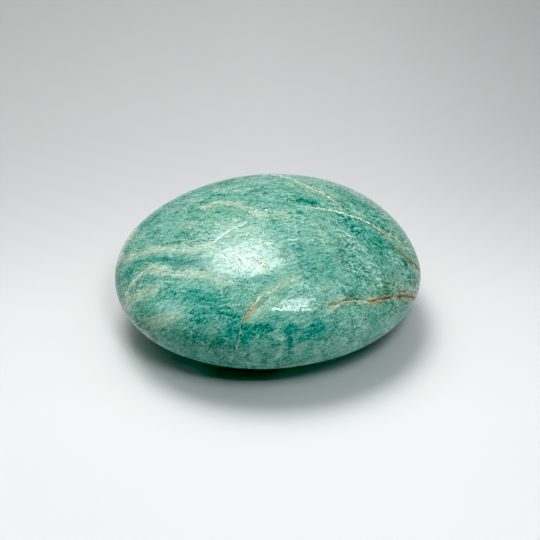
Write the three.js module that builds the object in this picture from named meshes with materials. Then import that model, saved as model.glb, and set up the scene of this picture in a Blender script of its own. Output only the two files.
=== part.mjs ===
// A tumbled amazonite: one piece of green feldspar, worn to a flattened oval and polished all over.
//
// Millimetres, +Z up. X runs along the stone's length and Y across it. The stone lies on one of its
// two broad sides, and the origin is on the surface under it, below the middle of its outline.

import * as THREE from 'three';

// The smooth oval that tumbling has worn the stone towards.
const LENGTH = 70;
const WIDTH = 54.2;
const HEIGHT = 27.6;

// How far the lowest point is worn away, which leaves the small flat that the stone rests on.
const RESTING_WEAR = 0.4;

// Triangles along each edge of the icosahedron that the surface is divided from.
const DIVISIONS = 16;

// Where the stone still stands out from the oval, or falls short of it. Each swell is centred in one
// direction on the round ball before that is flattened to the oval: degrees round from +X, and degrees
// up from level. Its height is in millimetres at the stone's ends, and it fades out over the spread,
// in degrees.
const SWELLS = [
  // The crown of the upper side.
  { round: 0, up: 90, height: 3.6, spread: 50 },
  // The full back of the upper side.
  { round: 76, up: 35, height: 2.2, spread: 40 },
  // The shoulder at the near left of the rim.
  { round: -141, up: -15, height: 1.2, spread: 32 },
  // The shoulder at the near right of the rim.
  { round: -36, up: -15, height: 0.4, spread: 30 },
  // The near stretch of the underside between the shoulders.
  { round: -108, up: -35, height: 1, spread: 34 },
  // The right-hand end, worn back above the rim.
  { round: 19, up: 12, height: -0.9, spread: 28 },
];

const POLISHED_AMAZONITE = new THREE.MeshStandardMaterial({
  color: '#4fa08c',
  roughness: 0.28,
  metalness: 0,
});

// A unit vector from its angle round from +X and its angle up from level, both in degrees.
function direction(round, up) {
  const azimuth = THREE.MathUtils.degToRad(round);
  const elevation = THREE.MathUtils.degToRad(up);
  return new THREE.Vector3(
    Math.cos(elevation) * Math.cos(azimuth),
    Math.cos(elevation) * Math.sin(azimuth),
    Math.sin(elevation),
  );
}

// How much larger than the plain oval the stone is in one direction of the round ball.
function swelling(ballPoint) {
  let factor = 1;
  for (const swell of SWELLS) {
    const away = ballPoint.angleTo(direction(swell.round, swell.up));
    const spread = THREE.MathUtils.degToRad(swell.spread);
    factor += (swell.height / (LENGTH / 2)) * Math.exp(-((away / spread) ** 2));
  }
  return factor;
}

// Flattens a round ball of small triangles to the stone's shape, wears the resting flat into it,
// and stands it on Z = 0 with the middle of its outline over the origin.
function stoneGeometry() {
  const geometry = new THREE.IcosahedronGeometry(1, DIVISIONS - 1);
  const position = geometry.attributes.position;
  const oval = new THREE.Vector3(LENGTH / 2, WIDTH / 2, HEIGHT / 2);
  const point = new THREE.Vector3();
  for (let i = 0; i < position.count; i += 1) {
    point.fromBufferAttribute(position, i).normalize();
    const factor = swelling(point);
    point.multiply(oval).multiplyScalar(factor);
    position.setXYZ(i, point.x, point.y, point.z);
  }

  geometry.computeBoundingBox();
  const restingHeight = geometry.boundingBox.min.z + RESTING_WEAR;
  for (let i = 0; i < position.count; i += 1) {
    position.setZ(i, Math.max(position.getZ(i), restingHeight));
  }

  geometry.computeBoundingBox();
  const middle = geometry.boundingBox.getCenter(new THREE.Vector3());
  geometry.translate(-middle.x, -middle.y, -restingHeight);
  geometry.computeVertexNormals();
  return geometry;
}

const stone = new THREE.Mesh(stoneGeometry(), POLISHED_AMAZONITE);
stone.name = 'stone';

const tumbledAmazonite = new THREE.Group();
tumbledAmazonite.add(stone);

export default tumbledAmazonite;
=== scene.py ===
import math

import bmesh
import bpy
import numpy as np
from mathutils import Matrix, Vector, noise


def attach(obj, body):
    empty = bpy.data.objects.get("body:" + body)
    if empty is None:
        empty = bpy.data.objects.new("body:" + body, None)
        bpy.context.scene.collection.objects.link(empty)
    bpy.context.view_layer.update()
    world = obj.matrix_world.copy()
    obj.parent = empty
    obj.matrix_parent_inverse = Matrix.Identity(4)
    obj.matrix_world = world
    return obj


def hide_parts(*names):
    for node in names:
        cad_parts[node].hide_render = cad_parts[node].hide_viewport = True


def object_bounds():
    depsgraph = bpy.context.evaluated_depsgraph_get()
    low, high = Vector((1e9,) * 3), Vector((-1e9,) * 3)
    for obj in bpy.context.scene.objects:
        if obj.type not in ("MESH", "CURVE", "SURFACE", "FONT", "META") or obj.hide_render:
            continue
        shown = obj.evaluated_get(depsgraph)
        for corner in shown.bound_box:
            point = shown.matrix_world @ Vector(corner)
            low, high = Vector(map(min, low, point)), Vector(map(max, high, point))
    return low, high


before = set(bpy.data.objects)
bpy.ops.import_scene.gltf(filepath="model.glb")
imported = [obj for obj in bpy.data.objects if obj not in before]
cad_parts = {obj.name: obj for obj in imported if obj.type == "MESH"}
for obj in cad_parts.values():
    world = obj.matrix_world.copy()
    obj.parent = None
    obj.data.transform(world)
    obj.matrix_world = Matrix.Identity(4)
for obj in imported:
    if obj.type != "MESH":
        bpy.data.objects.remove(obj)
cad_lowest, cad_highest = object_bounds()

# The body of the stone. One lump of blue-green feldspar, ground to a flattened oval, tumbled with
# finer and finer grit until no edge is left, and polished. It lies on a small flat worn on its
# underside. A place on it is named by the round ball that was pressed flat into it: so many degrees
# round from +X, and so many degrees up.
MM = 0.001
HALF_OVAL = np.array([35, 27.1, 13.8]) * MM
RESTING_WEAR = 0.4 * MM
SQUARES_ON_EDGE = 112
SWELLINGS = [  # degrees round, degrees up, height at the ends, degrees that it spreads over
    (0, 90, 3.6 * MM, 50),  # crown of the upper side
    (76, 35, 2.2 * MM, 40),  # full back of the upper side
    (-141, -15, 1.2 * MM, 32),  # near-left shoulder
    (-36, -15, 0.4 * MM, 30),  # near-right shoulder
    (-108, -35, 1.0 * MM, 34),  # near stretch of the underside
    (19, 12, -0.9 * MM, 28),  # right-hand end, worn back
]


def facing(turn, rise):
    """The direction turned about +Z from +X, then raised, both in degrees."""
    turn = math.radians(turn)
    rise = math.radians(rise)
    return np.array([math.cos(rise) * math.cos(turn), math.cos(rise) * math.sin(turn), math.sin(rise)])


def unit(vectors):
    """The same directions, each of length 1."""
    return vectors / np.linalg.norm(vectors, axis=-1, keepdims=True)


def worn_oval(ball):
    """Where the points of a round ball lie on the worn oval, measured from the oval's middle."""
    swelling = np.ones(len(ball))
    for turn, rise, height, spread in SWELLINGS:
        away = np.degrees(np.arccos(np.clip(ball @ facing(turn, rise), -1, 1)))
        swelling += height / HALF_OVAL[0] * np.exp(-((away / spread) ** 2))
    return ball * HALF_OVAL * swelling[:, None]


grid = bmesh.new()
bmesh.ops.create_cube(grid, size=2)
bmesh.ops.subdivide_edges(grid, edges=grid.edges, cuts=SQUARES_ON_EDGE - 1, use_grid_fill=True)
ball = unit(np.tan(np.array([corner.co for corner in grid.verts]) * math.pi / 4))
blank = worn_oval(ball)
resting_height = blank[:, 2].min() + RESTING_WEAR
foot = np.append((blank.min(0) + blank.max(0))[:2] / 2, resting_height)

# Veins and the healed crack. The rock once split along thin planes, and albite and iron rust filled
# them, so each comes out on the polished face as a thin line with stained rock beside it. A line runs
# through its stops: degrees round, degrees up, half its width in mm, and what is seen at its heart, on
# the line itself, and in the rock to its left and to its right, as colour and share.
CREAM = (0.66, 0.76, 0.60)
OAT = (0.58, 0.52, 0.36)
STRAW = (0.46, 0.46, 0.27)
REED = (0.34, 0.50, 0.35)
OCHRE = (0.47, 0.41, 0.20)
AMBER = (0.46, 0.27, 0.08)
UMBER = (0.10, 0.09, 0.035)
RUST = (0.34, 0.19, 0.10)
DARK_RUST = (0.13, 0.07, 0.04)
SHELL = (0.62, 0.54, 0.44)
OLIVE = (0.13, 0.19, 0.085)
SEA_GREEN = (0.16, 0.39, 0.29)
PALE_GREEN = (0.31, 0.52, 0.43)
DEEP_GREEN = (0.03, 0.19, 0.125)
BLACK = (0.01, 0.03, 0.02)


def stop(turn, rise, half_width, line, heart=None, left=None, right=None):
    """One stop of a vein, as the row of numbers that is evened out along it."""
    row = [turn, rise, half_width, *line]
    for colour, share in (heart or (BLACK, 0), left or (BLACK, 0), right or (BLACK, 0)):
        row += [*(np.array(colour) * share), share]
    return row


VEINS = [  # depth of the groove along it in mm, how broken it is, stops
    # cream vein over the far side, with a brown lower edge half way along
    (0.02, 0.35, [
        stop(97, 33, 0, CREAM),
        stop(88, 42, 0.14, CREAM),
        stop(78, 50, 0.18, CREAM),
        stop(70, 55, 0.22, CREAM),
        stop(58.5, 58.5, 0.22, CREAM, right=(OLIVE, 0.6)),
        stop(47, 60, 0.25, CREAM, right=(OLIVE, 0.8)),
        stop(37, 60.5, 0.25, STRAW, right=(OLIVE, 0.4)),
        stop(27, 61.5, 0, SEA_GREEN),
    ]),
    # cream vein down the right, over dark green
    (0.03, 0.3, [
        stop(38, 73.5, 0, CREAM),
        stop(31, 70, 0.20, CREAM, right=(DEEP_GREEN, 0.9)),
        stop(21, 64, 0.20, CREAM, right=(OLIVE, 0.9)),
        stop(14.5, 58, 0.22, CREAM, left=(DEEP_GREEN, 0.5), right=(DEEP_GREEN, 0.8)),
        stop(9, 51, 0.26, CREAM, left=(DEEP_GREEN, 0.5), right=(DEEP_GREEN, 0.9)),
        stop(3.5, 45.5, 0.20, STRAW, left=(OLIVE, 0.5), right=(OLIVE, 0.7)),
        stop(3.5, 37, 0.22, CREAM, left=(OLIVE, 0.5), right=(OLIVE, 0.6)),
        stop(0, 32, 0.10, STRAW, right=(OLIVE, 0.4)),
        stop(-3, 25, 0, OLIVE),
    ]),
    # olive vein beside it, brown towards the rim and on over it
    (0.04, 0.4, [
        stop(-6.5, 44.5, 0, OLIVE),
        stop(-7, 37.5, 0.24, OLIVE, right=(STRAW, 0.4)),
        stop(-8.5, 27, 0.38, OLIVE, heart=(UMBER, 0.4), left=(OLIVE, 0.4)),
        stop(-8, 15, 0.46, OLIVE, heart=(UMBER, 0.6), left=(OLIVE, 0.5), right=(STRAW, 0.3)),
        stop(-5, 2, 0.34, UMBER, left=(OLIVE, 0.5)),
        stop(0, -12, 0, OLIVE),
    ]),
    # pale flaw on the upper left, over a dark green edge
    (0.05, 0.5, [
        stop(-152, 68, 0, CREAM),
        stop(-155, 70.5, 0.20, CREAM),
        stop(-160.5, 74.5, 0.22, CREAM),
        stop(-167.5, 78, 0.20, CREAM, right=(DEEP_GREEN, 0.7)),
        stop(-172, 81, 0.18, CREAM, right=(DEEP_GREEN, 1)),
        stop(172, 83, 0, CREAM),
    ]),
    # wisp on the crown
    (0, 0.9, [
        stop(114, 83, 0, CREAM),
        stop(100, 83, 0.26, CREAM, right=(OLIVE, 0.3)),
        stop(86, 81.5, 0, CREAM),
    ]),
    # ochre vein on the near face, spreading into pale olive strands higher up
    (0.05, 0.35, [
        stop(-103, 28, 0, OLIVE),
        stop(-102, 31, 0.24, OLIVE, heart=(OCHRE, 0.4), right=(STRAW, 0.5)),
        stop(-100.5, 35, 0.34, OCHRE, left=(OLIVE, 0.7), right=(STRAW, 0.6)),
        stop(-99.5, 39, 0.42, OCHRE, left=(OLIVE, 0.6), right=(REED, 0.7)),
        stop(-97, 44.5, 0.42, STRAW, heart=(OCHRE, 0.7), right=(OLIVE, 0.4)),
        stop(-95, 48, 0.34, REED, heart=(STRAW, 0.6), left=(REED, 0.7), right=(OLIVE, 0.3)),
        stop(-89, 51.5, 0.34, REED, left=(REED, 0.8), right=(STRAW, 0.4)),
        stop(-82, 55, 0.32, REED, heart=(OLIVE, 0.4), left=(REED, 0.5), right=(REED, 0.6)),
        stop(-74.5, 57, 0.26, REED, left=(REED, 0.4), right=(REED, 0.4)),
        stop(-68, 58, 0, REED),
    ]),
    # step in the rock that carries it on down
    (0.02, 0.4, [
        stop(-102.5, 32, 0, SEA_GREEN),
        stop(-103, 29, 0.15, PALE_GREEN, right=(DEEP_GREEN, 0.8)),
        stop(-102.5, 21, 0.15, PALE_GREEN, right=(DEEP_GREEN, 0.9)),
        stop(-103, 10, 0.13, PALE_GREEN, right=(DEEP_GREEN, 0.5)),
        stop(-103, 1.5, 0, SEA_GREEN),
    ]),
    # pale edges of the blocks low in the middle of the near face
    (0, 0.3, [
        stop(-96, 23, 0, PALE_GREEN),
        stop(-96.5, 19.5, 0.17, PALE_GREEN, right=(DEEP_GREEN, 0.6)),
        stop(-97, 16, 0, PALE_GREEN),
    ]),
    (0, 0.5, [
        stop(-93.5, 21.5, 0, PALE_GREEN),
        stop(-92, 23, 0.12, PALE_GREEN),
        stop(-89.5, 22, 0.14, PALE_GREEN),
        stop(-87.5, 19.5, 0.18, CREAM),
        stop(-86, 15.5, 0.18, PALE_GREEN, left=(DEEP_GREEN, 0.7)),
        stop(-86.5, 11.5, 0.14, PALE_GREEN, left=(DEEP_GREEN, 0.6)),
        stop(-87.5, 5.5, 0, PALE_GREEN),
    ]),
    (0, 0.4, [
        stop(-82.5, 12, 0, PALE_GREEN),
        stop(-82, 16, 0.16, PALE_GREEN, left=(DEEP_GREEN, 0.7)),
        stop(-81, 18.5, 0.15, PALE_GREEN, left=(DEEP_GREEN, 0.5)),
        stop(-79.5, 20, 0, PALE_GREEN),
    ]),
    (0, 0.5, [
        stop(-79, -3, 0, PALE_GREEN),
        stop(-81, 5.5, 0.14, PALE_GREEN, left=(DEEP_GREEN, 0.4)),
        stop(-78, 10.5, 0.14, PALE_GREEN, left=(DEEP_GREEN, 0.6)),
        stop(-77, 16, 0, PALE_GREEN),
    ]),
    # rusty crack across the near right, round the end and under
    (0.20, 0.15, [
        stop(-67, 36.5, 0, STRAW),
        stop(-64, 36.5, 0.16, STRAW, left=(OLIVE, 0.6), right=(OLIVE, 0.4)),
        stop(-60, 36, 0.26, OAT, heart=(OCHRE, 0.6), left=(OLIVE, 0.6)),
        stop(-57.5, 36.5, 0.26, OCHRE, left=(OAT, 0.5), right=(OLIVE, 0.6)),
        stop(-55.5, 36.5, 0.24, UMBER, left=(OLIVE, 0.5), right=(UMBER, 0.5)),
        stop(-53, 35.5, 0.24, OCHRE, heart=(UMBER, 1), left=(OLIVE, 0.6), right=(OLIVE, 0.5)),
        stop(-50.5, 34, 0.22, UMBER, left=(STRAW, 0.5), right=(CREAM, 0.4)),
        stop(-48.5, 31.5, 0.20, CREAM, left=(OLIVE, 0.4), right=(SEA_GREEN, 0.4)),
        stop(-46.5, 29, 0.32, OCHRE, left=(CREAM, 0.6), right=(OLIVE, 0.4)),
        stop(-44, 28, 0.46, AMBER, heart=(UMBER, 0.7), left=(CREAM, 0.8), right=(OAT, 0.8)),
        stop(-42, 27, 0.36, OAT, heart=(RUST, 0.7), right=(UMBER, 0.7)),
        stop(-39, 25, 0.28, RUST, heart=(DARK_RUST, 1), left=(OAT, 0.4), right=(OLIVE, 0.6)),
        stop(-36.5, 23, 0.26, DARK_RUST, left=(OAT, 0.7), right=(OLIVE, 0.5)),
        stop(-34, 21, 0.24, SHELL, heart=(RUST, 0.4), right=(OLIVE, 0.6)),
        stop(-31.5, 18.5, 0.26, DARK_RUST, left=(SHELL, 0.9), right=(UMBER, 0.4)),
        stop(-28, 14, 0.28, RUST, left=(SHELL, 0.9), right=(RUST, 0.3)),
        stop(-25, 8, 0.28, DARK_RUST, left=(RUST, 0.6), right=(SHELL, 0.5)),
        stop(-22, 1.5, 0.26, RUST, heart=(DARK_RUST, 0.8), left=(SHELL, 0.5)),
        stop(-17, -9, 0.22, DARK_RUST, left=(OAT, 0.5)),
        stop(-10, -19, 0.18, RUST, left=(OLIVE, 0.4)),
        stop(0, -30, 0.12, OCHRE),
        stop(12, -37, 0, STRAW),
    ]),
    # pale hairline in the green of the near left
    (0, 0.9, [
        stop(-125, 35, 0, CREAM),
        stop(-116, 38.5, 0.06, SEA_GREEN),
        stop(-107, 41.5, 0.07, CREAM),
        stop(-101, 43, 0, CREAM),
    ]),
    # pale threads across the same green
    (0, 0.5, [
        stop(-125, 34, 0, PALE_GREEN),
        stop(-121, 36, 0.12, PALE_GREEN),
        stop(-116, 38.5, 0.14, PALE_GREEN),
        stop(-109, 40, 0, PALE_GREEN),
    ]),
    (0, 0.5, [
        stop(-117, 32, 0, PALE_GREEN),
        stop(-114.5, 32.5, 0.14, PALE_GREEN),
        stop(-111, 33.5, 0.12, PALE_GREEN),
        stop(-107, 33, 0, PALE_GREEN),
    ]),
    # thread of cream round the left end
    (0, 0.4, [
        stop(-157, 8, 0, CREAM),
        stop(-158.5, 13, 0.18, CREAM, left=(DEEP_GREEN, 0.4)),
        stop(-160.5, 22.5, 0.22, CREAM, left=(DEEP_GREEN, 0.5)),
        stop(-160.5, 32, 0.20, CREAM, left=(DEEP_GREEN, 0.3)),
        stop(-160.5, 40, 0, CREAM),
    ]),
    # crisp edge of the pale tongue
    (0, 0.8, [
        stop(-133.5, 16.5, 0, CREAM),
        stop(-130, 23, 0.12, CREAM, right=(DEEP_GREEN, 0.5)),
        stop(-128, 30, 0, SEA_GREEN),
    ]),
    # broken flaw on the crown of the near face
    (0.04, 0.8, [
        stop(-112, 70, 0, CREAM),
        stop(-106, 69, 0.10, DEEP_GREEN, left=(CREAM, 0.6)),
        stop(-101, 67.5, 0.18, OLIVE, left=(CREAM, 0.7), right=(CREAM, 0.5)),
        stop(-96, 65.5, 0.30, OLIVE, left=(CREAM, 0.6), right=(OLIVE, 0.4)),
        stop(-90.5, 63, 0, OLIVE),
    ]),
    # black speck
    (0.05, 0, [
        stop(-36, 78.5, 0, BLACK),
        stop(-32, 78.5, 0.34, BLACK),
        stop(-28, 78.5, 0, BLACK),
    ]),
    # pale veins and a rusty one on the far side
    (0.02, 0.6, [
        stop(144, 38, 0, CREAM),
        stop(134, 33, 0.14, CREAM, right=(DEEP_GREEN, 0.6)),
        stop(122, 26, 0.20, STRAW, right=(OLIVE, 0.5)),
        stop(112, 15, 0.22, CREAM, left=(DEEP_GREEN, 0.5)),
        stop(104, 2, 0.16, CREAM),
        stop(98, -12, 0, STRAW),
    ]),
    (0.08, 0.2, [
        stop(52, 30, 0, STRAW),
        stop(60, 24, 0.14, OAT, left=(OLIVE, 0.5)),
        stop(67, 17, 0.24, OCHRE, heart=(UMBER, 0.6), right=(OLIVE, 0.5)),
        stop(74, 12, 0.26, RUST, heart=(DARK_RUST, 0.8), left=(OAT, 0.5)),
        stop(83, 8, 0.18, OCHRE, right=(STRAW, 0.4)),
        stop(90, 1, 0.12, STRAW, left=(OLIVE, 0.5)),
        stop(94, -8, 0, STRAW),
    ]),
    (0, 0.7, [
        stop(-175, 3, 0, CREAM),
        stop(172, -6, 0.14, CREAM, left=(DEEP_GREEN, 0.5)),
        stop(158, -14, 0.20, STRAW),
        stop(140, -22, 0.14, CREAM, left=(OLIVE, 0.5)),
        stop(118, -33, 0, CREAM),
    ]),
]


STEPS = 8  # straight pieces of a line between two stops


def curve_through(stops):
    """Points along a smooth line over the stone through its stops."""
    knots = np.array([facing(turn, rise) for turn, rise in stops])
    knots = np.vstack([2 * knots[0] - knots[1], knots, 2 * knots[-1] - knots[-2]])
    share = np.linspace(0, 1, STEPS, endpoint=False)[:, None]
    pieces = []
    for before, start, end, after in zip(knots, knots[1:], knots[2:], knots[3:]):
        bend = 2 * before - 5 * start + 4 * end - after
        twist = 3 * start - before - 3 * end + after
        pieces.append(start + 0.5 * ((end - before) * share + bend * share**2 + twist * share**3))
    return worn_oval(unit(np.vstack(pieces + [knots[-2:-1]]))) - foot


def measure_from(line, points, outward):
    """How far to the right of a line each point is, and the stop that it is level with."""
    nearest = np.full(len(points), np.inf)
    side = np.zeros(len(points))
    level = np.zeros(len(points))
    for number, (start, end) in enumerate(zip(line, line[1:])):
        run = end - start
        offset = points - start
        share = np.clip(offset @ run / (run @ run), 0, 1)
        apart = offset - share[:, None] * run
        distance = np.linalg.norm(apart, axis=1)
        closer = distance < nearest
        nearest[closer] = distance[closer]
        turned = np.cross(run, outward[closer])
        side[closer] = np.where((apart[closer] * turned).sum(1) < 0, -1, 1)
        level[closer] = (number + share[closer]) / STEPS
    return nearest * side, level


def beside(line, points, reach):
    """Which points lie within reach of the ball of space that holds the line."""
    middle = line.mean(0)
    return np.linalg.norm(points - middle, axis=1) < np.linalg.norm(line - middle, axis=1).max() + reach


# The mesh is squared off finely, and three times as finely again along the grooves.
FINE_REACH = 0.8 * MM
FINE_CUTS = 2
surface = blank - foot
outward = unit(ball / HALF_OVAL)
grooved = np.zeros(len(ball), bool)
for depth, _, stops in VEINS:
    line = curve_through([row[:2] for row in stops])
    close = beside(line, surface, FINE_REACH)
    side, _ = measure_from(line, surface[close], outward[close])
    grooved[close] |= (np.abs(side) < FINE_REACH) & (depth > 0)
for corner, direction in zip(grid.verts, ball):
    corner.co = direction
fine_edges = [edge for edge in grid.edges if all(grooved[corner.index] for corner in edge.verts)]
bmesh.ops.subdivide_edges(grid, edges=fine_edges, cuts=FINE_CUTS, use_grid_fill=True)
mesh = bpy.data.meshes.new("amazonite_stone")
grid.to_mesh(mesh)
grid.free()
corners = np.zeros(len(mesh.vertices) * 3)
mesh.vertices.foreach_get("co", corners)
ball = unit(corners.reshape(-1, 3))
surface = worn_oval(ball)
surface[:, 2] = np.maximum(surface[:, 2], resting_height)
surface -= foot
outward = unit(ball / HALF_OVAL)

# What each corner knows of the nearest vein: how far off it is, its half width and how broken it is, and
# then its line, its heart and share, its left and share, and its right and share.
VEIN_REACH = 1.3 * MM
GROOVE_HALF_WIDTH = 0.28 * MM
nearest = np.full(len(ball), VEIN_REACH)
measures = np.zeros((len(ball), 3))
measures[:, 0] = VEIN_REACH / MM
looks = np.zeros((len(ball), 15))
groove = np.zeros(len(ball))
for depth, broken, stops in VEINS:
    line = curve_through([row[:2] for row in stops])
    close = np.flatnonzero(beside(line, surface, VEIN_REACH))
    side, level = measure_from(line, surface[close], outward[close])
    rows = np.array(stops + stops[-1:])
    before = level.astype(int)
    row = rows[before] + (level - before)[:, None] * (rows[before + 1] - rows[before])
    half_width = row[:, 2]
    taper = np.minimum(half_width / rows[:, 2].max() * 2, 1)
    worn = np.exp(-((side / GROOVE_HALF_WIDTH) ** 2)) * taper
    groove[close] = np.maximum(groove[close], depth * MM * worn)
    closer = np.abs(side) < nearest[close]
    nearest[close[closer]] = np.abs(side[closer])
    measures[close[closer], 0] = side[closer] / MM
    measures[close[closer], 1] = half_width[closer]
    measures[close[closer], 2] = broken
    looks[close[closer]] = row[closer, 3:]

# Small unevenness that the polishing left, and the grooves with their chipped edges. The flat that the
# stone rests on stays flat.
WAVE_SPAN = 7 * MM
WAVE_HEIGHT = 0.05 * MM
CHIP_SPAN = 0.7 * MM
CHIP_SHARE = 0.8
FLAT_EDGE = 0.2 * MM
waves = np.array([noise.noise(Vector(point) / WAVE_SPAN) for point in surface])
chips = np.array([noise.noise(Vector(point) / CHIP_SPAN) for point in surface])
lowered = groove * (1 + CHIP_SHARE * chips) - WAVE_HEIGHT * waves
surface -= np.where(surface[:, 2] > FLAT_EDGE, 1, 0)[:, None] * outward * lowered[:, None]

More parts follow.
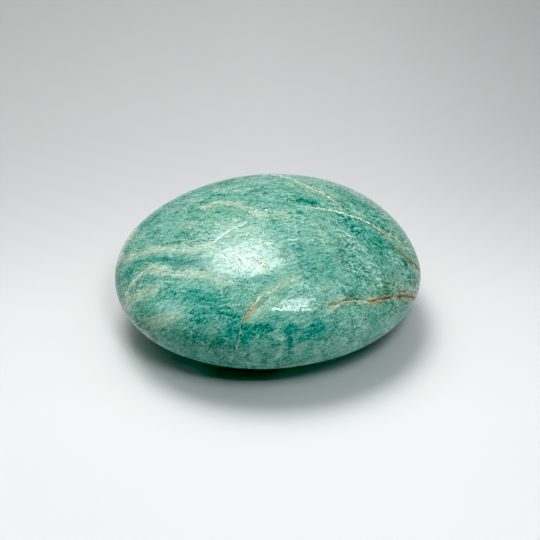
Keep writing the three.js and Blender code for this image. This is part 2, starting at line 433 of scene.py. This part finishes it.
# Layers. The feldspar grew in layers, pale or green, and the grinding has cut across them, so they
# show as bands, patches and pools: how much lighter, how much warmer, half width in mm, stops.
LAYERS = [
    # cream layer high on the left end
    (0.07, 0.30, 0.9, [(178, 15), (-176, 30), (-172, 42), (-169, 50), (-159, 58), (-148, 66)]),
    # cream layer that bends round the left end
    (0.06, 0.25, 0.8, [(-155, 6), (-158, 19), (-160, 31), (-158, 38), (-154, 44)]),
    (0.09, 0.34, 1.0, [(-157, 41), (-149, 44.5), (-140, 49.5), (-128, 53), (-114.5, 52.5)]),
    (0.04, 0.25, 0.8, [(-152, 15), (-150, 27), (-147, 34)]),
    # tongues of pale feldspar at the near-left shoulder
    (0.10, 0.45, 1.1, [(-139.5, 9.5), (-136.5, 14.5), (-133.5, 18), (-130, 23.5)]),
    (0.26, -0.05, 1.0, [(-139, 25.5), (-134, 27), (-128.5, 28.5)]),
    (0.08, 0.22, 1.1, [(-151.5, 21), (-150, 29), (-148, 36.5)]),
    (0.08, 0.10, 0.8, [(-147, 28), (-147, 36)]),
    (0.06, 0.20, 0.5, [(-168, 28), (-166.5, 35.5), (-160, 41)]),
    # cream and pale wisps over the crown
    (0.06, 0.34, 0.7, [(145, 62), (139.5, 65), (132, 68), (128, 71.5)]),
    (0.05, 0.40, 0.8, [(129, 73), (127.5, 77), (124, 82), (117.5, 86.5)]),
    (0.05, 0.35, 1.2, [(66, 84), (35, 84)]),
    (0.06, 0.15, 1.3, [(-144, 82), (-107, 81), (-88, 77)]),
    (0.03, 0.15, 1.4, [(171, 57), (174, 68), (-170, 77)]),
    (0.02, 0.12, 1.8, [(146, 46), (144, 55), (144, 62)]),
    (0.06, 0.08, 0.6, [(124, 56), (117, 59), (110, 63)]),
    (0.02, 0.25, 1.0, [(-125, 71), (-109, 66), (-97, 64)]),
    (0.09, 0.00, 1.6, [(-163, 72), (-172, 75), (-170, 78)]),
    (0.05, 0.00, 3.0, [(117, 85), (-128, 84)]),
    # pale feldspar beside the ochre vein and in the middle of the near face
    (0.10, 0.30, 1.2, [(-96, 34), (-94, 41), (-90, 46)]),
    (0.03, 0.06, 2.0, [(-73, 55), (-67, 48), (-65, 41)]),
    # pale layer down the right
    (0.03, 0.12, 1.2, [(-20, 70), (-33, 64), (-40, 56), (-42, 51)]),
    # warm rock beside the far veins
    (0.03, 0.25, 1.5, [(70, 55), (58, 59), (47, 60), (37, 60), (27, 61)]),
    (0.01, 0.18, 1.5, [(46, 47), (35, 42), (25, 35)]),
    (0.00, 0.30, 1.2, [(3, 46), (-2, 40), (-8, 27), (-8, 15)]),
    # stained rock along the crack
    (0.03, 0.35, 1.6, [(-65, 36), (-55, 37), (-47, 30), (-40, 26), (-34, 21), (-28, 14), (-22, 2)]),
    (0.03, 0.12, 3.0, [(-31, 34), (-27, 24), (-22, 12)]),
    # deep green layers and pools
    (-0.11, -0.15, 0.8, [(-166, 23), (-168, 31), (-165, 41), (-156, 49), (-144, 56), (-138, 60)]),
    (-0.04, -0.05, 1.0, [(-179, 57), (-172, 62)]),
    (-0.06, -0.12, 0.6, [(130, 58), (120, 65), (108, 71)]),
    (-0.05, -0.12, 0.7, [(106, 75), (80, 77), (52, 77)]),
    (-0.07, -0.15, 0.8, [(-106, 85), (-71, 84), (-55, 81)]),
    (-0.08, -0.15, 0.5, [(31, 78), (17, 76.5)]),
    (-0.08, -0.15, 0.5, [(49, 70), (38, 70)]),
    (-0.04, -0.08, 0.6, [(116, 39), (113, 47), (109, 51)]),
    (-0.045, -0.28, 2.8, [(-142, 35), (-131, 41), (-120, 42)]),
    (-0.055, -0.28, 3.0, [(-123, 33), (-113, 34), (-106, 30)]),
    # steep-sided blocks, pale and deep by turns, low in the middle of the near face
    (-0.06, -0.25, 1.6, [(-102, 24.5), (-98, 24.5), (-91, 24.5), (-84, 22), (-77, 21), (-70, 24.5)]),
    (-0.05, -0.15, 0.9, [(-106, 31), (-105.5, 25), (-104.5, 19)]),
    (-0.05, -0.15, 0.8, [(-100.5, 27), (-99.5, 25), (-98.5, 17)]),
    (-0.05, -0.15, 0.7, [(-96, 29), (-93.5, 27.5), (-91.5, 29)]),
    (-0.06, -0.15, 0.7, [(-84, 27), (-84, 19), (-83.5, 13)]),
    (-0.06, -0.20, 0.9, [(-78.5, 19.5), (-74.5, 23), (-71, 25.5)]),
    (0.10, -0.05, 0.4, [(-96, 20.5), (-97.5, 12.5), (-96.5, 3)]),
    (0.16, 0.30, 0.6, [(-88, 28.5), (-88.5, 25), (-86.5, 19.5), (-86, 15.5), (-87, 8.5), (-88.5, 1)]),
    (0.14, 0.20, 0.35, [(-91.5, 21.5), (-89, 22), (-86.5, 19.5)]),
    (0.15, 0.15, 0.35, [(-82, 21.5), (-79, 22.5), (-78.5, 19.5)]),
    (0.12, 0.00, 0.4, [(-82, 9.5), (-81.5, 17.5), (-80.5, 19.5)]),
    (0.10, -0.05, 0.45, [(-81, 4.5), (-79, 11.5), (-76, 13.5)]),
    (0.10, -0.05, 0.35, [(-74, 16), (-74.5, 8.5), (-74.5, 1.5)]),
    (0.04, -0.10, 0.7, [(-93, 16), (-92, 8)]),
    # paler rock to the right of the blocks
    (0.04, 0.06, 2.0, [(-69, 18), (-68.5, 6), (-71, -5)]),
    (0.05, 0.00, 2.4, [(-62, 14), (-59, 24)]),
    (0.06, 0.00, 2.4, [(-53, 14), (-46, 14)]),
    # thin layers along the foot of the near face
    (0.03, 0.28, 1.1, [(-101.5, 6), (-97.5, 0), (-92.5, -2.5)]),
    (0.08, 0.25, 0.35, [(-109, 7), (-104.5, -0.5), (-100, -6), (-91.5, -8.5), (-83, -7.5)]),
    (0.08, 0.15, 0.3, [(-112, 2), (-103, -6), (-91, -12), (-80, -13), (-66, -8)]),
    # cooler and deeper green over the near face, its foot and the left rim
    (0.00, -0.24, 4.0, [(-92, 20), (-75, 22), (-60, 18), (-48, 12)]),
    (-0.10, 0.10, 2.6, [(-142, 3), (-132, -2), (-121, -6), (-110, -8)]),
    (-0.03, 0.06, 2.4, [(-126, 8), (-114, 6), (-105, 6)]),
    (-0.10, 0.00, 1.5, [(-160, -5), (-168, 5), (-176, 14), (178, 24)]),
    # deep green pools in the right half and on the crown
    (-0.05, -0.12, 2.2, [(-59, 58), (-52, 55), (-48, 60)]),
    (-0.07, -0.02, 1.9, [(-31, 60), (-37, 52), (-43, 45), (-50, 40)]),
    (-0.07, 0.06, 1.6, [(-18, 48), (-28, 38), (-37, 27), (-46, 15)]),
    (-0.10, -0.12, 3.2, [(-106, -4), (-98, -5), (-84, -6), (-70, -8)]),
    (-0.07, -0.10, 2.6, [(6, 63), (-2, 55), (-8, 44)]),
    (-0.07, -0.05, 2.2, [(36, 49), (23, 47), (10, 46)]),
    (-0.09, -0.15, 0.8, [(63, 70), (52, 70), (41, 69)]),
    (-0.06, -0.12, 1.2, [(-57, 40), (-50, 38)]),
    (-0.10, 0.00, 1.0, [(-44, 29), (-36, 26), (-29, 19)]),
    (-0.06, -0.20, 2.2, [(-75, 73), (-58, 74), (-62, 69)]),
    (-0.07, -0.15, 1.2, [(38, 59), (26, 59)]),
    (-0.06, -0.05, 1.8, [(56, 46), (40, 49)]),
    # layers on round the far side
    (0.08, 0.30, 1.1, [(178, 15), (165, 21), (146, 24), (128, 31), (110, 36)]),
    (0.06, 0.25, 0.9, [(176, 4), (155, 8), (132, 8), (112, 14), (98, 22)]),
    (0.09, 0.10, 1.8, [(78, 24), (58, 22), (44, 14)]),
    (0.07, 0.30, 1.0, [(30, 24), (48, 6), (72, -3), (92, -4)]),
    (-0.10, -0.20, 1.6, [(160, 33), (138, 40), (112, 44), (92, 40)]),
    (-0.09, -0.25, 2.4, [(150, 14), (128, 18), (108, 24)]),
    (-0.08, -0.20, 2.8, [(86, 12), (66, 7), (48, 0)]),
    (-0.09, -0.10, 1.2, [(24, 8), (36, -6), (56, -14)]),
    # layers on the underside
    (0.08, 0.25, 1.2, [(-155, 6), (-160, -12), (-178, -30), (150, -42), (110, -52)]),
    (0.08, 0.30, 1.6, [(-140, -12), (-128, -32), (-140, -55), (170, -66), (100, -66)]),
    (0.07, 0.15, 2.0, [(-80, -34), (-52, -48), (-10, -58), (40, -54)]),
    (-0.09, -0.20, 2.6, [(-170, -8), (170, -24), (136, -34), (100, -38)]),
    (-0.09, -0.25, 3.2, [(-120, -22), (-100, -46), (-110, -68)]),
    (-0.08, -0.20, 3.0, [(-50, -22), (-22, -38), (20, -44), (60, -34)]),
]
BEND_SPAN = 3.5 * MM
BEND = 0.55 * MM
BEND_SEED = 1  # any number but 0, which would bend the layers anew in each run
BAND_SOFTNESS = 1.4
APART = 40  # mm between the strands of one layer and of the next, so that no two are alike

light = np.zeros(len(surface))
warmth = np.zeros(len(surface))
strands = np.zeros((len(surface), 3))
noise.seed_set(BEND_SEED)
bends = np.array([noise.noise_vector(Vector(point) / BEND_SPAN) for point in surface])
bent = surface + BEND * bends
for number, (lighter, warmer, half_width, stops) in enumerate(LAYERS):
    line = curve_through(stops)
    softness = half_width * MM * BAND_SOFTNESS
    close = np.flatnonzero(beside(line, bent, 3 * softness))
    side, level = measure_from(line, bent[close], outward[close])
    strength = np.exp(-((side / softness) ** 2))
    light[close] += lighter * strength
    warmth[close] += warmer * strength
    run = np.linalg.norm(np.diff(line, axis=0), axis=1).sum() / MM
    stronger = strength > strands[close, 2]
    strands[close[stronger], 0] = side[stronger] / MM
    strands[close[stronger], 1] = level[stronger] / (len(stops) - 1) * run + number * APART
    strands[close[stronger], 2] = strength[stronger]

shares = looks[:, [6, 10, 14]]
for name, values in (("light", light), ("warmth", warmth)):
    mesh.attributes.new(name, "FLOAT", "POINT").data.foreach_set("value", values)
for name, values in (
    ("strands", strands),
    ("vein_measures", measures),
    ("vein_line", looks[:, 0:3]),
    ("vein_heart", looks[:, 3:6]),
    ("vein_left", looks[:, 7:10]),
    ("vein_right", looks[:, 11:14]),
    ("vein_shares", shares),
):
    mesh.attributes.new(name, "FLOAT_VECTOR", "POINT").data.foreach_set("vector", values.ravel())

mesh.vertices.foreach_set("co", surface.ravel())
mesh.polygons.foreach_set("use_smooth", [True] * len(mesh.polygons))
stone = bpy.data.objects.new("amazonite_stone", mesh)
bpy.context.collection.objects.link(stone)


# The rock and its polish. Amazonite is green feldspar shot through with thin flakes of white albite,
# which lie nearly parallel. Polished, it is glossy, with a duller grain where a flake has plucked out.
class Wire:
    """A socket in a material. Sums written with it add Math nodes, or Vector Math for a vector."""

    def __init__(self, socket):
        self.socket = socket

    def node(self, kind, settings, inputs, output=0):
        """Add a node, make its settings, and fill its inputs with values or wires."""
        made = self.socket.id_data.nodes.new("ShaderNode" + kind)
        for name, value in settings.items():
            if name == "stops":
                ramp = made.color_ramp
                while len(ramp.elements) < len(value):
                    ramp.elements.new(1)
                for element, (position, colour) in zip(ramp.elements, value):
                    element.position = position
                    element.color = (*colour, 1)
            else:
                setattr(made, name, value)
        for place, value in inputs.items():
            if isinstance(value, Wire):
                self.socket.id_data.links.new(value.socket, made.inputs[place])
            else:
                made.inputs[place].default_value = value
        return Wire(made.outputs[output])

    def sum(self, operation, first, second):
        """A Math node on two values, or a Vector Math node if either is a colour or a vector."""
        pair = (first, second)
        wires = [value for value in pair if isinstance(value, Wire)]
        if tuple not in map(type, pair) and all(wire.socket.type == "VALUE" for wire in wires):
            return self.node("Math", {"operation": operation}, dict(enumerate(pair)))
        values = [value if isinstance(value, (Wire, tuple)) else (value,) * 3 for value in pair]
        return self.node("VectorMath", {"operation": operation}, dict(enumerate(values)))

    def __add__(self, other):
        return self.sum("ADD", self, other)

    def __sub__(self, other):
        return self.sum("SUBTRACT", self, other)

    def __rsub__(self, other):
        return self.sum("SUBTRACT", other, self)

    def __mul__(self, other):
        return self.sum("MULTIPLY", self, other)

    def __truediv__(self, other):
        return self.sum("DIVIDE", self, other)

    __radd__ = __add__
    __rmul__ = __mul__

    def __abs__(self):
        return self.sum("ABSOLUTE", self, 0)

    def fade(self, low, high):
        """0 below low, 1 above high, and smooth between them."""
        span = {"Value": self, "From Min": low, "From Max": high}
        return self.node("MapRange", {"interpolation_type": "SMOOTHSTEP"}, span)

    def blend(self, other, amount):
        """This colour mixed with another."""
        return self.node("Mix", {"data_type": "RGBA"}, {0: amount, 6: self, 7: other}, 2)

    def part(self, number):
        """One of the three numbers of a vector or colour."""
        return self.node("SeparateXYZ", {}, {0: self}, number)


polish = bpy.data.materials.new("flaky_amazonite")
polish.use_nodes = True
shader = polish.node_tree.nodes["Principled BSDF"]
place = Wire(shader.inputs["Base Color"]).node("TexCoord", {}, {}, "Object") * 1000
wobble = place.node("TexNoise", {}, {"Vector": place, "Scale": 0.25, "Detail": 2}, 1) - 0.5
curled = place + wobble * 3.0


# Which way the flat sides of the flakes face, as degrees round and degrees up.
LEFT_FACING = (97, 28)
RIGHT_FACING = (-80, 60)
SPLINTER_FACING = (70, 30)
NEAR_FACING = (136, 32)
LAYER_FACING = (-124, 38)
COARSE_FACING = (60, 20)
BLOCK_FACING = (8, 6)
PLUCKED_FACING = (30, 50)
STRAIGHT_UP = (0, 90)
right = place.part(0).fade(4, 18)
front = place.part(1).fade(-10, -17)
low_front = place.part(1).fade(-9, -16) * place.part(2).fade(19, 12)


def lying(points, flat_facing, span, shift):
    """Points measured in flakes of a given span in mm, the last one through the flake."""
    tilt = Vector(facing(*flat_facing)).to_track_quat("Z", "Y").to_euler()
    settings = {"Vector": points, "Location": (shift,) * 3, "Rotation": tilt, "Scale": span}
    return points.node("Mapping", {"vector_type": "TEXTURE"}, settings)


def flakes(points, flat_facing, span, shift, detail=2, roughness=0.5, distortion=0.0):
    """Random values about 0, drawn out in flakes."""
    settings = {"Vector": lying(points, flat_facing, span, shift), "Scale": 1, "Detail": detail}
    settings |= {"Roughness": roughness, "Distortion": distortion}
    return points.node("TexNoise", {}, settings) - 0.5


def specks(span, shift, detail=2):
    """Random values about 0 in specks as long as they are wide, of a span in mm."""
    return flakes(place, STRAIGHT_UP, (span,) * 3, shift, detail)


def grown(span, shift, right_facing=RIGHT_FACING, **kind):
    """Flakes as they grew: one way in the left of the stone, another in the right, a third in front."""
    left_hand = flakes(curled, LEFT_FACING, span, shift, **kind) * (1 - right)
    right_hand = flakes(curled, right_facing, span, shift + 31, **kind) * right
    near_side = flakes(curled, NEAR_FACING, span, shift + 63, **kind) * front
    return (left_hand + right_hand) * (1 - front) + near_side


def grains(flat_facing, span, shift):
    """Straight-sided grains, with a random value about 0 in each."""
    settings = {"Vector": lying(curled, flat_facing, span, shift), "Scale": 1}
    return place.node("TexVoronoi", {}, settings, 1).part(0) - 0.5


def from_edge(flat_facing, span, shift):
    """How far each place is from the edge of its straight-sided grain."""
    settings = {"Vector": lying(curled, flat_facing, span, shift), "Scale": 1}
    return place.node("TexVoronoi", {"feature": "DISTANCE_TO_EDGE"}, settings)


# Clouds and fibres that run along the layers, and the strands within one layer.
blotch = flakes(curled, LAYER_FACING, (4.5, 4.5, 1.6), 11, detail=3, distortion=0.3)
ribbon = flakes(curled, LAYER_FACING, (22, 22, 4), 5, distortion=0.2)
fibre = flakes(curled, LAYER_FACING, (6, 6, 0.7), 71, detail=3, roughness=0.6)
in_layer = place.node("Attribute", {"attribute_name": "strands"}, {}, "Vector")
combed = {"Vector": in_layer * (1.5, 0.16, 0), "Scale": 1, "Detail": 3, "Roughness": 0.65}
strand = (place.node("TexNoise", {}, combed) - 0.5) * in_layer.part(2).fade(0.1, 0.6)

# Grain: fine flakes and grit, straight-sided grains, splinters, and pale wisps between larger grains.
fine = grown((0.95, 0.95, 0.33), 0, detail=3, distortion=0.15, roughness=0.75)
grit = specks(0.34, 97, detail=1)
left_mosaic = grains(LEFT_FACING, (1.2, 0.9, 0.34), 57) * (1 - right)
right_mosaic = grains(RIGHT_FACING, (0.75, 0.6, 0.36), 57) * right
mosaic = left_mosaic + right_mosaic
left_parting = from_edge(LEFT_FACING, (3.4, 2.6, 0.9), 101) * (1 - right)
right_parting = from_edge(RIGHT_FACING, (2.6, 2.2, 0.9), 101) * right
parting = (left_parting + right_parting).fade(0.045, 0.0)
wisp = parting * flakes(curled, LEFT_FACING, (3, 3, 1), 33).fade(-0.03, 0.05)
crystal = grains(LEFT_FACING, (1.9, 1.6, 0.9), 3)
splinter = grown((3.2, 3.2, 0.5), 131, right_facing=SPLINTER_FACING, detail=2, distortion=0.3)
pale_splinter = splinter.fade(0.05, 0.10)
dark_splinter = splinter.fade(-0.05, -0.10)
coarse = flakes(curled, COARSE_FACING, (7, 7, 4), 151, detail=2).fade(-0.12, 0.12)
even_grain = fine * 0.78 + grit * 0.55 + mosaic * 0.16
flaked = even_grain + pale_splinter * 0.05 - dark_splinter * 0.055 + wisp * 0.17 + crystal * 0.06
grain = flaked * (0.72 + coarse * 0.5 + right * 0.06) * (1 - low_front * 0.25) + strand * 0.3

# Blocks low in front, with thin pale edges here and there.
BLOCK_SPAN = (4.2, 4.2, 1.7)
block = grains(BLOCK_FACING, BLOCK_SPAN, 9) * low_front
between_blocks = from_edge(BLOCK_FACING, BLOCK_SPAN, 9).fade(0.07, 0.0) * low_front
block_edge = between_blocks * flakes(curled, BLOCK_FACING, (3, 3, 2), 19).fade(0.0, 0.08)

# The layers, with frayed edges, and how light and how warm the rock is in all.
layer_light = place.node("Attribute", {"attribute_name": "light"}, {}, "Fac")
layer_warmth = place.node("Attribute", {"attribute_name": "warmth"}, {}, "Fac")
fray = (fibre * 0.5 + strand * 0.7 + fine * 0.45 + blotch * 0.3) * (1 - low_front * 0.75)
frayed_light = layer_light + fray * 0.16
pale = frayed_light.fade(0.03, 0.055) * (1 + low_front * 0.6)
deep = frayed_light.fade(-0.035, -0.06)
cream = (layer_warmth + fray * 0.6).fade(0.13, 0.21)
layered = 0.391 + front * 0.03 + layer_light * (0.6 + fibre * 1.2) + pale * 0.045 - deep * 0.05
clouded = layered + cream * 0.02 + ribbon * 0.10 + blotch * 0.2 * (1 - low_front * 0.6)
lightness = clouded + block * 0.16 + block_edge * 0.08 + grain
stained = 0.31 + layer_warmth * (0.55 + fibre * 1.0) + cream * 0.2 + blotch * 0.3 + ribbon * 0.2
warm = stained - deep * 0.1
COOL = [
    (0.1, (0, 0.1, 0.072)),
    (0.185, (0.006, 0.185, 0.135)),
    (0.278, (0.035, 0.278, 0.217)),
    (0.376, (0.095, 0.376, 0.308)),
    (0.474, (0.175, 0.474, 0.402)),
    (0.636, (0.335, 0.636, 0.554)),
    (0.85, (0.65, 0.85, 0.807)),
]
WARM = [
    (0.1, (0.05, 0.1, 0.06)),
    (0.161, (0.1, 0.161, 0.1)),
    (0.277, (0.195, 0.277, 0.179)),
    (0.375, (0.277, 0.375, 0.256)),
    (0.474, (0.373, 0.474, 0.335)),
    (0.541, (0.44, 0.541, 0.398)),
    (0.7, (0.62, 0.7, 0.56)),
]
cool_tone = lightness.node("ValToRGB", {"stops": COOL}, {0: lightness})
warm_tone = lightness.node("ValToRGB", {"stops": WARM}, {0: lightness})
rock = cool_tone.blend(warm_tone, warm) * (1 - front * (0.10, 0, 0.02))


def vein(name):
    """One of the things that each corner of the mesh knows of the nearest vein."""
    return place.node("Attribute", {"attribute_name": "vein_" + name}, {}, "Vector")


# The veins. Their edges are ragged and their width comes and goes. A stain takes its colour from its
# stops, which hold colour times share, so only its share of the rock is taken away beneath it.
crumbs = specks(0.45, 23)
ragged = crumbs * 0.7 + specks(1.3, 29) * 1.2
swell = 1 + specks(1.3, 61) * 2.4
measure = vein("measures")
sideways = (measure.part(0) + ragged) / (measure.part(1) * swell + 0.004)
whole = 1 - measure.part(2) * specks(0.9, 67).fade(0.02, -0.06)
line_mask = abs(sideways).fade(1.3, 0.7) * whole
heart_mask = abs(sideways).fade(0.7, 0.3) * whole
patchy = specks(0.7, 37, detail=1).fade(-0.13, 0.03)
left_mask = sideways.fade(-0.8, -1.2) * sideways.fade(-3.2, -2.0) * patchy
right_mask = sideways.fade(0.8, 1.2) * sideways.fade(3.2, 2.0) * patchy
mottle = (1 - crumbs.fade(-0.04, -0.14) * 0.4) * (1 + crumbs.fade(0.05, 0.15) * 0.4)
heart_share = vein("shares").part(0)
left_share = vein("shares").part(1)
right_share = vein("shares").part(2)
left_stained = rock * (1 - left_share * left_mask) + vein("left") * left_mask
both_stained = left_stained * (1 - right_share * right_mask) + vein("right") * right_mask
lined = both_stained * (1 - line_mask) + vein("line") * line_mask * mottle
veined = lined * (1 - heart_share * heart_mask) + vein("heart") * heart_mask * mottle
polish.node_tree.links.new(veined.socket, shader.inputs["Base Color"])

# The polish, dull along the veins and where a flake has plucked out, and fine pits in it.
PIT_DEPTH = 0.035 * MM
plucked = flakes(place, PLUCKED_FACING, (0.5, 0.5, 0.35), 43, detail=1).fade(0.06, 0.12)
dullness = 0.045 + plucked * 0.3 + line_mask * 0.15
polish.node_tree.links.new(dullness.socket, shader.inputs["Roughness"])
pits = {"Height": grit * 0.5 + fine * 0.07 - plucked, "Strength": 0.4, "Distance": PIT_DEPTH}
polish.node_tree.links.new(grit.node("Bump", {}, pits).socket, shader.inputs["Normal"])
shader.inputs["IOR"].default_value = 1.53
shader.inputs["Specular IOR Level"].default_value = 0.41
mesh.materials.append(polish)
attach(stone, "root")
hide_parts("stone")

# The table top. A sheet of smooth white card, with painted shade and light: its colour is darker
# towards the back and the sides and a little lighter on the right, where the lamps don't light it
# evenly.
CARD_HALF = 3.0
CARD_WHITE = (0.812, 0.821, 0.821)
card = bpy.data.meshes.new("white_card")
card_corners = [(x * CARD_HALF, y * CARD_HALF, 0) for x, y in ((-1, -1), (1, -1), (1, 1), (-1, 1))]
card.from_pydata(card_corners, [], [(0, 1, 2, 3)])
floor = bpy.data.objects.new("white_card", card)
bpy.context.collection.objects.link(floor)
card_with_painted_shade = bpy.data.materials.new("card_with_painted_shade")
card_with_painted_shade.use_nodes = True
card_shader = card_with_painted_shade.node_tree.nodes["Principled BSDF"]
card_shader.inputs["Roughness"].default_value = 0.9
card_shader.inputs["Specular IOR Level"].default_value = 0.1
on_card = Wire(card_shader.inputs["Base Color"]).node("TexCoord", {}, {}, "Object") * 1000


def painted_shade_along(distance, low, high, stops):
    """Grey tones along a distance, at the stops between its low end and its high end."""
    share = distance.node("MapRange", {}, {"Value": distance, "From Min": low, "From Max": high})
    greys = [(position, (grey,) * 3) for position, grey in stops]
    return share.node("ValToRGB", {"stops": greys}, {0: share})


# Painted shade: the card's grey falls off towards the back, and across its far part towards the sides.
PAINTED_SHADE_BACKWARD = [
    (0, 0.955),
    (0.2, 0.93),
    (0.36, 0.88),
    (0.47, 0.775),
    (0.57, 0.69),
    (0.68, 0.63),
    (0.85, 0.57),
    (1, 0.525),
]
PAINTED_SHADE_ACROSS = [(0, 0.90), (0.3, 0.975), (0.5, 1), (0.7, 0.965), (1, 0.81)]
painted_shade_backward = painted_shade_along(on_card.part(1), -70, 130, PAINTED_SHADE_BACKWARD)
painted_shade_across = painted_shade_along(on_card.part(0), -80, 80, PAINTED_SHADE_ACROSS)
far_back = on_card.part(1).fade(-40, 70)
# Painted light: the card is made a little lighter towards the right.
painted_light_rightward = 1 + on_card.part(0).fade(-40, 20) * 0.02
card_painted_shade_and_light = painted_shade_backward * (1 - far_back + painted_shade_across * far_back) * painted_light_rightward * CARD_WHITE
card_with_painted_shade.node_tree.links.new(card_painted_shade_and_light.socket, card_shader.inputs["Base Color"])
card.materials.append(card_with_painted_shade)

# The lamps. An oval softbox behind and above the stone, brighter in its middle and fading towards the
# back, and in front a long softbox that is brightest along its lower edge, seen in the polish as a
# short bright bar.
stone_middle = (cad_lowest + cad_highest) / 2


def soft_light(name, shape, turn, rise, distance, width, depth, radiance, roll=0, tint=(1, 1, 1)):
    """A soft lamp that faces the stone from so many degrees round and up."""
    data = bpy.data.lights.new(name, "AREA")
    data.shape = shape
    data.size = width
    data.size_y = depth
    area = width * depth * (math.pi / 4 if shape == "ELLIPSE" else 1)
    data.energy = radiance * math.pi * area
    data.color = tint
    lamp = bpy.data.objects.new(name, data)
    bpy.context.collection.objects.link(lamp)
    away = Vector(facing(turn, rise))
    lamp.location = stone_middle + away * distance
    lamp.rotation_euler = away.to_track_quat("Z", "Y").to_euler()
    lamp.rotation_euler.rotate_axis("Z", math.radians(roll))
    return lamp


SOFTBOX_DISTANCE = 0.5
OVERHEAD_WIDTH = 0.25
OVERHEAD_DEPTH = 0.24
COOL_WHITE = (0.92, 1, 1)
for number, (turn, rise, spread, radiance) in enumerate([  # from the faint rim to the bright middle
    (104, 64, 1.7, 1.35),
    (115, 70.5, 1.15, 4.1),
    (117.5, 72.2, 0.85, 5.2),
    (117.5, 72.2, 0.5, 2.7),
]):
    soft_light(
        f"overhead_softbox_{number}", "ELLIPSE", turn, rise, SOFTBOX_DISTANCE + number * MM,
        width=OVERHEAD_WIDTH * spread, depth=OVERHEAD_DEPTH * (0.6 + 0.4 * spread), radiance=radiance,
    )
for number, (turn, rise, width, depth, radiance) in enumerate([  # from the bright lower edge up
    (-70.5, 59.3, 0.16, 0.021, 30),
    (-64.5, 62.2, 0.10, 0.032, 19),
    (-59, 67, 0.11, 0.05, 12),
]):
    soft_light(
        f"front_softbox_{number}", "RECTANGLE", turn, rise, SOFTBOX_DISTANCE,
        width=width, depth=depth, radiance=radiance, roll=-20, tint=COOL_WHITE,
    )

soft_light("high_fill", "ELLIPSE", -60, 70, SOFTBOX_DISTANCE, 0.26, 0.14, radiance=0.25, tint=COOL_WHITE)
soft_light("far_left_fill", "ELLIPSE", 140, 62, 0.6, 0.5, 0.4, radiance=1.0)

# The room. Pale walls low down, and a ceiling that is brighter on the right. Both are dark in front of
# the table.
room = bpy.data.worlds.new("room")
bpy.context.scene.world = room
room.use_nodes = True
background = room.node_tree.nodes["Background"]
way = Wire(background.inputs["Color"]).node("TexCoord", {}, {}, "Generated")
overhead = way.part(2).fade(0.5, 0.75) * way.part(1).fade(-0.7, -0.2)
ceiling = overhead * (0.3 + 0.4 * way.part(0).fade(0, 0.5))
walls = way.part(2).fade(0.14, 0.04) * (0.03 + 0.47 * way.part(1).fade(-0.6, 0.2))
room.node_tree.links.new((ceiling + walls).socket, background.inputs["Color"])

# The camera, above the near side of the table and a little to the left. Its picture is a little deeper
# in the shade than the plain one.
CAMERA_RISE = 44
CAMERA_TURN = 1.75
CAMERA_DISTANCE = 0.4
SENSOR_WIDTH = 36
LENS = 115.8
AIM_RIGHT = 0.23 * MM
AIM_UP = 0.21 * MM
BLACK_LEVEL = (0.034, 0.032, 0.032)
camera_data = bpy.data.cameras.new("camera")
camera_data.sensor_width = SENSOR_WIDTH
camera_data.lens = LENS
camera = bpy.data.objects.new("camera", camera_data)
bpy.context.collection.objects.link(camera)
forward = -Vector(facing(-90 - CAMERA_TURN, CAMERA_RISE))
right_hand = forward.cross(Vector((0, 0, 1))).normalized()
upward = right_hand.cross(forward)
oval_middle = -Vector(foot)
aim = oval_middle + right_hand * AIM_RIGHT + upward * AIM_UP
camera.location = aim - forward * CAMERA_DISTANCE
camera.rotation_mode = "QUATERNION"
camera.rotation_quaternion = (-forward).to_track_quat("Z", "Y")
bpy.context.scene.camera = camera
view = bpy.context.scene.view_settings
view.view_transform = "Standard"
view.use_curve_mapping = True
view.curve_mapping.black_level = BLACK_LEVEL
view.curve_mapping.update()
